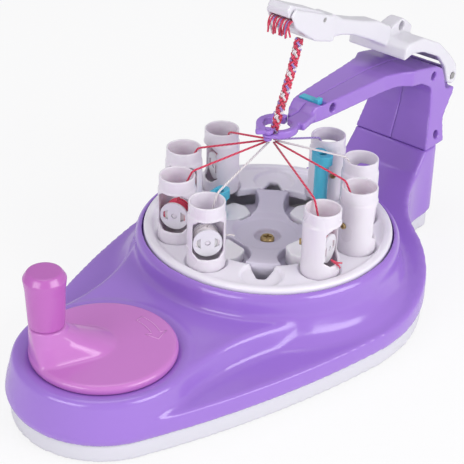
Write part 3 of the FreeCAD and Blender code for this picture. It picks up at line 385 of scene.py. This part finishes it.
def windingTree():
    tree = bpy.data.node_groups.new("woundYarn", "GeometryNodeTree")
    groupSocket(tree, "Geometry", "NodeSocketGeometry")
    groupSocket(tree, "Turns", "NodeSocketInt", 8)
    groupSocket(tree, "Width", "NodeSocketFloat", 0.008)
    groupSocket(tree, "Radius", "NodeSocketFloat", 0.0067)
    groupSocket(tree, "Thread", "NodeSocketFloat", 0.0005)
    groupSocket(tree, "Tilt", "NodeSocketFloat", 0.05)
    groupSocket(tree, "Seed", "NodeSocketInt", 1)
    groupSocket(tree, "Yarn", "NodeSocketMaterial")
    groupSocket(tree, "Geometry", "NodeSocketGeometry", output=True)
    link = tree.links.new
    entry = addNode(tree, "NodeGroupInput", -1200, 0)
    leave = addNode(tree, "NodeGroupOutput", 900, 0)
    line = addNode(tree, "GeometryNodeMeshLine", -500, 200, mode="OFFSET")
    less = addNode(tree, "ShaderNodeMath", -1000, 300, operation="SUBTRACT")
    less.inputs[1].default_value = 1.0
    step = addNode(tree, "ShaderNodeMath", -800, 300, operation="DIVIDE")
    offset = addNode(tree, "ShaderNodeCombineXYZ", -650, 300)
    half = addNode(tree, "ShaderNodeMath", -800, 120, operation="MULTIPLY")
    half.inputs[1].default_value = -0.5
    first = addNode(tree, "ShaderNodeCombineXYZ", -650, 120)
    ring = addNode(tree, "GeometryNodeCurvePrimitiveCircle", -650, -100)
    ring.inputs["Resolution"].default_value = 48
    section = addNode(tree, "GeometryNodeCurvePrimitiveCircle", -650, -300)
    section.inputs["Resolution"].default_value = 8
    thread = addNode(tree, "GeometryNodeCurveToMesh", -450, -150)
    upright = addNode(tree, "GeometryNodeTransform", -250, -150)
    upright.inputs["Rotation"].default_value = (0, math.pi / 2, 0)
    minus = addNode(tree, "ShaderNodeMath", -800, -500, operation="MULTIPLY")
    minus.inputs[1].default_value = -1.0
    lowTilt = addNode(tree, "ShaderNodeCombineXYZ", -600, -500)
    highTilt = addNode(tree, "ShaderNodeCombineXYZ", -600, -650)
    tilt = addNode(tree, "FunctionNodeRandomValue", -350, -450, data_type="FLOAT_VECTOR")
    grow = addNode(tree, "FunctionNodeRandomValue", -350, -700, data_type="FLOAT")
    grow.inputs[2].default_value = 0.95
    grow.inputs[3].default_value = 1.03
    placed = addNode(tree, "GeometryNodeInstanceOnPoints", 0, 0)
    plain = addNode(tree, "GeometryNodeRealizeInstances", 200, 0)
    dressed = addNode(tree, "GeometryNodeSetMaterial", 400, 0)
    smooth = addNode(tree, "GeometryNodeSetShadeSmooth", 600, 0)
    link(entry.outputs["Turns"], less.inputs[0])
    link(entry.outputs["Width"], step.inputs[0])
    link(less.outputs[0], step.inputs[1])
    link(step.outputs[0], offset.inputs[0])
    link(entry.outputs["Width"], half.inputs[0])
    link(half.outputs[0], first.inputs[0])
    link(entry.outputs["Turns"], line.inputs["Count"])
    link(first.outputs[0], line.inputs["Start Location"])
    link(offset.outputs[0], line.inputs["Offset"])
    link(entry.outputs["Radius"], ring.inputs["Radius"])
    link(entry.outputs["Thread"], section.inputs["Radius"])
    link(ring.outputs[0], thread.inputs["Curve"])
    link(section.outputs[0], thread.inputs["Profile Curve"])
    link(thread.outputs[0], upright.inputs["Geometry"])
    link(entry.outputs["Tilt"], minus.inputs[0])
    for vector, source in ((lowTilt, minus.outputs[0]), (highTilt, entry.outputs["Tilt"])):
        link(source, vector.inputs[1])
        link(source, vector.inputs[2])
    link(lowTilt.outputs[0], tilt.inputs[0])
    link(highTilt.outputs[0], tilt.inputs[1])
    link(entry.outputs["Seed"], tilt.inputs["Seed"])
    link(entry.outputs["Seed"], grow.inputs["Seed"])
    link(line.outputs[0], placed.inputs["Points"])
    link(upright.outputs[0], placed.inputs["Instance"])
    link(tilt.outputs[0], placed.inputs["Rotation"])
    link(grow.outputs[1], placed.inputs["Scale"])
    link(placed.outputs[0], plain.inputs[0])
    link(plain.outputs[0], dressed.inputs["Geometry"])
    link(entry.outputs["Yarn"], dressed.inputs["Material"])
    link(dressed.outputs[0], smooth.inputs["Geometry"])
    link(smooth.outputs[0], leave.inputs[0])
    return tree


woundYarn = windingTree()


def socketName(tree, name):
    for item in tree.interface.items_tree:
        if item.name == name and item.in_out == "INPUT":
            return item.identifier


for number, (key, angle) in enumerate(podAngles.items()):
    look = yarnLook[key]
    piece = linkMesh(bpy.data.meshes.new(f"winding{key.upper()}"), f"winding{key.upper()}", look)
    nodesOn = piece.modifiers.new("turns", "NODES")
    nodesOn.node_group = woundYarn
    inputs = {
        "Turns": winding["turns"], "Width": winding["width"] * mm, "Radius": winding["radius"] * mm,
        "Thread": winding["thread"] * mm, "Tilt": math.radians(winding["tilt"]),
        "Seed": winding["firstSeed"] + number, "Yarn": looks[look],
    }
    for label, value in inputs.items():
        nodesOn[socketName(woundYarn, label)] = value
    applyModifiers(piece)
    bm = bmesh.new()
    bm.from_mesh(piece.data)
    drum = bmesh.ops.create_cone(bm, cap_ends=True, segments=40, radius1=winding["core"] * mm,
                                 radius2=winding["core"] * mm, depth=winding["width"] * mm)
    bmesh.ops.rotate(bm, verts=drum["verts"], cent=(0, 0, 0), matrix=Matrix.Rotation(math.pi / 2, 3, "Y"))
    bm.to_mesh(piece.data)
    bm.free()
    out = math.radians(angle)
    reach = winding["circle"]
    spot = Vector((reach * math.cos(out), reach * math.sin(out), winding["height"])) * mm
    turn = Matrix.Rotation(math.radians(angle + windowTurns[key]), 4, "Z")
    piece.data.transform(Matrix.Translation(spot) @ turn)
    piece.data.update()
    piece.data.shade_smooth()
    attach(piece, f"bobbin_{key}")
    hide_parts(f"yarn_winding_{key}")
print("windings done")

# Strands: out of each cup, over its rim, taut to the braiding point
strand = {"radius": 0.62, "start": 75.9, "rimAt": 46.9, "rimTop": 94.6, "meetAt": 2.3, "meetTop": 110.2}
for key, angle in podAngles.items():
    turn = math.radians(angle)
    out = Vector((math.cos(turn), math.sin(turn), 0))
    low = out * winding["circle"] + Vector((0, 0, strand["start"]))
    rim = out * strand["rimAt"] + Vector((0, 0, strand["rimTop"]))
    meet = out * strand["meetAt"] + Vector((0, 0, strand["meetTop"]))
    path = [low] + eased([low.lerp(rim, 0.82), rim, rim.lerp(meet, 0.12)], 3) + [meet]
    look = yarnLook[key]
    name = f"strand{key.upper()}"
    piece = linkMesh(tubeMesh(name, path, strand["radius"], 10, plyTurns), name, look)
    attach(piece, "turntable")
    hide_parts("yarn_strands")
print("strands done")

# Braid: eight threads, four each way round, passing over and under
braid = {
    "route": [(0.2, 0, 111.9), (8.6, 0, 131), (16.6, 0, 149.3), (22.5, 0, 167.4)],
    "ring": 1.75, "wave": 0.42, "thread": 0.74, "pitch": 13.0,
    "looks": ["coral", "snow", "coral", "coral", "coral", "snow", "coral", "lilac"],
}


def along(points, count):
    # Even samples along a line of points, with how far along each lies
    lengths = [0.0]
    for a, b in zip(points, points[1:]):
        lengths.append(lengths[-1] + (b - a).length)
    samples = []
    leg = 0
    for i in range(count):
        want = lengths[-1] * i / (count - 1)
        while leg < len(points) - 2 and lengths[leg + 1] < want:
            leg += 1
        share = (want - lengths[leg]) / (lengths[leg + 1] - lengths[leg])
        samples.append((points[leg].lerp(points[leg + 1], share), want))
    return samples


middleLine = along(eased(braid["route"], 3), 190)
across = Vector((0, 1, 0))
for look in ("coral", "snow", "lilac"):
    bm = bmesh.new()
    for number, own in enumerate(braid["looks"]):
        if own != look:
            continue
        way = 1 if number < 4 else -1
        path = []
        for i, (point, run) in enumerate(middleLine):
            after = middleLine[min(i + 1, len(middleLine) - 1)][0]
            before = middleLine[max(i - 1, 0)][0]
            ahead = (after - before).normalized()
            up = ahead.cross(across).normalized()
            turn = way * (2 * math.pi * run / braid["pitch"]) + math.pi / 2 * (number % 4)
            lift = braid["ring"] + way * braid["wave"] * math.cos(8 * math.pi * run / braid["pitch"])
            path.append(point + (across * math.cos(turn) + up * math.sin(turn)) * lift)
        part = tubeMesh("part", path, braid["thread"], 8, plyTurns)
        bm.from_mesh(part)
        bpy.data.meshes.remove(part)
    mesh = bpy.data.meshes.new(f"braid{look.title()}")
    bm.to_mesh(mesh)
    bm.free()
    piece = linkMesh(mesh, f"braid{look.title()}", look)
    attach(piece, "tension")
    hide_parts("braid")
print("braid done")

# Fringe: the cut ends that hang out of the clip head, spread across it
fringe = {
    "count": 16, "radius": 0.55, "near": 6.5, "spread": 14.5, "drop": 178.5, "uneven": 2.6,
    "looks": ["coral", "snow", "coral", "lilac", "coral"],
}


def addFringe():
    meshes = {"coral": bmesh.new(), "snow": bmesh.new(), "lilac": bmesh.new()}
    for number in range(fringe["count"]):
        share = number / (fringe["count"] - 1)
        sway = math.sin(number * 2.4)
        y = fringe["near"] - fringe["spread"] * share
        low = fringe["drop"] - fringe["uneven"] * abs(math.sin(number * 1.3))
        path = eased([(10, y, 183.9), (4.6, y, 186.2), (1.6 - 0.5 * abs(sway), y - 0.3, 185.6),
                      (0.8 + 0.9 * sway, y - 0.8 * sway, 181.5),
                      (1.6 + 1.5 * sway, y - 1.2 * sway, low)], 2)
        part = tubeMesh("part", path, fringe["radius"], 8, plyTurns)
        meshes[fringe["looks"][number % len(fringe["looks"])]].from_mesh(part)
        bpy.data.meshes.remove(part)
    for look, bm in meshes.items():
        mesh = bpy.data.meshes.new(f"fringe{look.title()}")
        bm.to_mesh(mesh)
        bm.free()
        piece = linkMesh(mesh, f"fringe{look.title()}", look)
        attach(piece, "tension")


addFringe()
print("fringe done")

# Loose ends that stick out of two pods: each point is a turn in degrees, a distance from the pod's axis
# and a height
looseRadius = 0.55
looseEnds = [
    ("h", "coral", [(-104, 9.0, 63.5), (-92, 12.2, 62.0), (-80, 12.8, 60.8), (-66, 12.6, 59.0)]),
    ("h", "coral", [(-100, 9.0, 62.5), (-90, 12.0, 60.6), (-82, 12.6, 58.6), (-77, 12.3, 57.0)]),
    ("d", "snow", [(-51, 10.4, 70.2), (-50, 12.6, 70.8), (-49, 14.6, 70.6), (-47, 16.0, 69.8)]),
]
for number, (key, look, spots) in enumerate(looseEnds):
    out = math.radians(podAngles[key])
    centre = Vector((winding["circle"] * math.cos(out), winding["circle"] * math.sin(out), 0))
    path = eased([centre + Vector((r * math.cos(math.radians(a)), r * math.sin(math.radians(a)), z))
                  for a, r, z in spots], 2)
    name = f"looseEnd{number + 1}"
    piece = linkMesh(tubeMesh(name, path, looseRadius, 8, plyTurns), name, look)
    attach(piece, "turntable")
print("loose ends done")

# Screw heads with a pressed cross, on the pods and in the middle of the star disc
screws = {"podRadius": 1.9, "podOut": 12.6, "podRise": 1.2, "podHeight": 70.6, "podTurn": -155,
          "hubRadius": 4.3, "hubLow": 42.6, "hubTop": 44.8, "sides": 28}


def crossHead(bm, radius, rise, matrix):
    turns = [2 * math.pi * k / screws["sides"] for k in range(screws["sides"])]
    outer = [(radius * math.cos(turn), radius * math.sin(turn)) for turn in turns]
    arm, slim = radius * 0.62, radius * 0.15
    quarter = [(arm, -slim), (arm, slim), (slim, slim)]
    cross = []
    for k in range(4):
        c, n = round(math.cos(math.pi / 2 * k)), round(math.sin(math.pi / 2 * k))
        cross += [(x * c - y * n, x * n + y * c) for x, y in quarter]

    def row(points, scale, z):
        return [bm.verts.new(matrix @ Vector((x * scale * mm, y * scale * mm, z * mm))) for x, y in points]

    def skirt(low, high):
        for k in range(len(low)):
            bm.faces.new((low[k], low[(k + 1) % len(low)], high[(k + 1) % len(high)], high[k]))

    foot, edge, rim = row(outer, 1, 0), row(outer, 1, rise * 0.6), row(outer, 0.86, rise)
    mouth, floor = row(cross, 1, rise), row(cross, 0.9, rise * 0.45)
    skirt(foot, edge)
    skirt(edge, rim)
    skirt(mouth, floor)
    bm.faces.new(tuple(reversed(foot)))
    bm.faces.new(tuple(floor))
    edges = []
    for loop in (rim, mouth):
        edges += [bm.edges.get((loop[k], loop[(k + 1) % len(loop)])) for k in range(len(loop))]
    bmesh.ops.triangle_fill(bm, use_beauty=True, edges=edges)


def addScrews(name, heads, body, node):
    bm = bmesh.new()
    for radius, rise, matrix in heads:
        crossHead(bm, radius, rise, matrix)
    bmesh.ops.recalc_face_normals(bm, faces=bm.faces)
    mesh = bpy.data.meshes.new(name)
    bm.to_mesh(mesh)
    bm.free()
    piece = linkMesh(mesh, name, "brass", False)
    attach(piece, body)
    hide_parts(node)


podHeads = []
for key, angle in podAngles.items():
    place = math.radians(angle)
    reach = winding["circle"]
    spot = Vector((reach * math.cos(place), reach * math.sin(place), screws["podHeight"]))
    face = math.radians(angle + windowTurns[key] + screws["podTurn"])
    out = Vector((math.cos(face), math.sin(face), 0))
    spot += out * (screws["podOut"] - screws["podRise"])
    turn = out.to_track_quat("Z", "Y").to_matrix().to_4x4()
    podHeads.append((screws["podRadius"], screws["podRise"], Matrix.Translation(spot * mm) @ turn))
addScrews("podScrewHeads", podHeads, "turntable", "pod_screws")
hubPlace = Matrix.Translation((0, 0, screws["hubLow"] * mm)) @ Matrix.Rotation(0.5, 4, "Z")
hubHead = (screws["hubRadius"], screws["hubTop"] - screws["hubLow"], hubPlace)
addScrews("hubScrewHead", [hubHead], "root", "hub_screw")
print("screws done")

# Arrow: the outline of a bent arrow, raised on the crank disc to show which way it turns
arrow = {
    "centre": (-143.5, 0), "height": 42.05, "inner": 27.5, "outer": 32.5,
    "start": 2, "stop": -30, "tip": -42, "barb": 3.4, "line": 0.32,
}


def addArrow():
    def at(radius, degrees):
        turn = math.radians(degrees)
        x, y = arrow["centre"]
        return (x + radius * math.cos(turn), y + radius * math.sin(turn), arrow["height"])

    steps = 14
    sweep = [arrow["start"] + (arrow["stop"] - arrow["start"]) * i / steps for i in range(steps + 1)]
    middle = (arrow["inner"] + arrow["outer"]) / 2
    outline = [at(arrow["outer"], d) for d in sweep]
    outline += [at(arrow["outer"] + arrow["barb"], arrow["stop"]), at(middle, arrow["tip"]),
                at(arrow["inner"] - arrow["barb"], arrow["stop"])]
    outline += [at(arrow["inner"], d) for d in reversed(sweep)]
    outline.append(outline[0])
    piece = linkMesh(tubeMesh("crankArrow", outline, arrow["line"], 8, plyTurns), "crankArrow", "arrow")
    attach(piece, "crank")


addArrow()
print("arrow done")

# Floor, light and camera
studio = {
    "camera": (-626.6, -474.4, 518.0),
    "target": (-13.5, 16.8, 47.25),
    "roll": 1.57,
    "lens": 117.39,
    "floor": 3.0,
    "floorWhite": 0.8,
    "skyStrength": 0.5,
}


def addCamera():
    data = bpy.data.cameras.new("camera")
    data.lens = studio["lens"]
    data.sensor_width = 36.0
    data.clip_end = 20
    view = bpy.data.objects.new("camera", data)
    scene.collection.objects.link(view)
    place = Vector(studio["camera"]) * mm
    turn = (Vector(studio["target"]) * mm - place).to_track_quat("-Z", "Y").to_matrix().to_4x4()
    roll = Matrix.Rotation(math.radians(studio["roll"]), 4, "Z")
    view.matrix_world = Matrix.Translation(place) @ turn @ roll
    scene.camera = view


def addFloor():
    size = studio["floor"]
    mesh = bpy.data.meshes.new("floor")
    corners = [(-size, -size, 0), (size, -size, 0), (size, size, 0), (-size, size, 0)]
    mesh.from_pydata(corners, [], [(0, 1, 2, 3)])
    floor = bpy.data.objects.new("floor", mesh)
    scene.collection.objects.link(floor)
    material, tree, body = freshMaterial("paleFloor")
    body.inputs["Base Color"].default_value = (0.93, 0.93, 0.94, 1)
    body.inputs["Roughness"].default_value = 0.9
    body.inputs["Specular IOR Level"].default_value = 0.1
    rays = addNode(tree, "ShaderNodeLightPath", -400, 300)
    share = addNode(tree, "ShaderNodeMath", -150, 300, operation="MULTIPLY")
    share.inputs[1].default_value = studio["floorWhite"]
    plain = addNode(tree, "ShaderNodeEmission", 0, -500)
    mixed = addNode(tree, "ShaderNodeMixShader", 300, 200)
    leave = tree.nodes["Material Output"]
    leave.location = (500, 0)
    tree.links.new(rays.outputs["Is Camera Ray"], share.inputs[0])
    tree.links.new(share.outputs[0], mixed.inputs["Fac"])
    tree.links.new(body.outputs["BSDF"], mixed.inputs[1])
    tree.links.new(plain.outputs["Emission"], mixed.inputs[2])
    tree.links.new(mixed.outputs[0], leave.inputs["Surface"])
    mesh.materials.append(material)


def addLight(name, place, target, size, power):
    data = bpy.data.lights.new(name, "AREA")
    data.shape = "RECTANGLE"
    data.size, data.size_y = size
    data.energy = power
    light = bpy.data.objects.new(name, data)
    scene.collection.objects.link(light)
    light.location = Vector(place)
    light.rotation_euler = (Vector(target) - Vector(place)).to_track_quat("-Z", "Y").to_euler()


def addWorld():
    world = bpy.data.worlds.new("studio")
    scene.world = world
    world.use_nodes = True
    tree = world.node_tree
    tree.nodes.clear()
    rays = addNode(tree, "ShaderNodeLightPath", -500, 200)
    soft = addNode(tree, "ShaderNodeBackground", -200, 0)
    soft.inputs["Color"].default_value = (0.97, 0.96, 1.0, 1)
    soft.inputs["Strength"].default_value = studio["skyStrength"]
    plain = addNode(tree, "ShaderNodeBackground", -200, -150)
    plain.inputs["Color"].default_value = (1, 1, 1, 1)
    plain.inputs["Strength"].default_value = 1.0
    mixed = addNode(tree, "ShaderNodeMixShader", 50, 0)
    leave = addNode(tree, "ShaderNodeOutputWorld", 250, 0)
    tree.links.new(rays.outputs["Is Camera Ray"], mixed.inputs["Fac"])
    tree.links.new(soft.outputs[0], mixed.inputs[1])
    tree.links.new(plain.outputs[0], mixed.inputs[2])
    tree.links.new(mixed.outputs[0], leave.inputs["Surface"])


addCamera()
addFloor()
addWorld()
# Softboxes: place and aim in metres, size, power in watts
softboxes = {
    "key": ((0.15, -1.5, 0.75), (0, 0, 0.06), (1.2, 0.8), 15.0),
    "left": ((-1.4, 0.0, 0.6), (0, 0, 0.06), (0.9, 0.6), 7.0),
    "top": ((0.1, 0.3, 1.4), (0, 0, 0.05), (0.8, 0.8), 3.0),
}
for name, (place, aim, size, power) in softboxes.items():
    addLight(name, place, aim, size, power)
scene.view_settings.view_transform = "Standard"
print("studio ready")
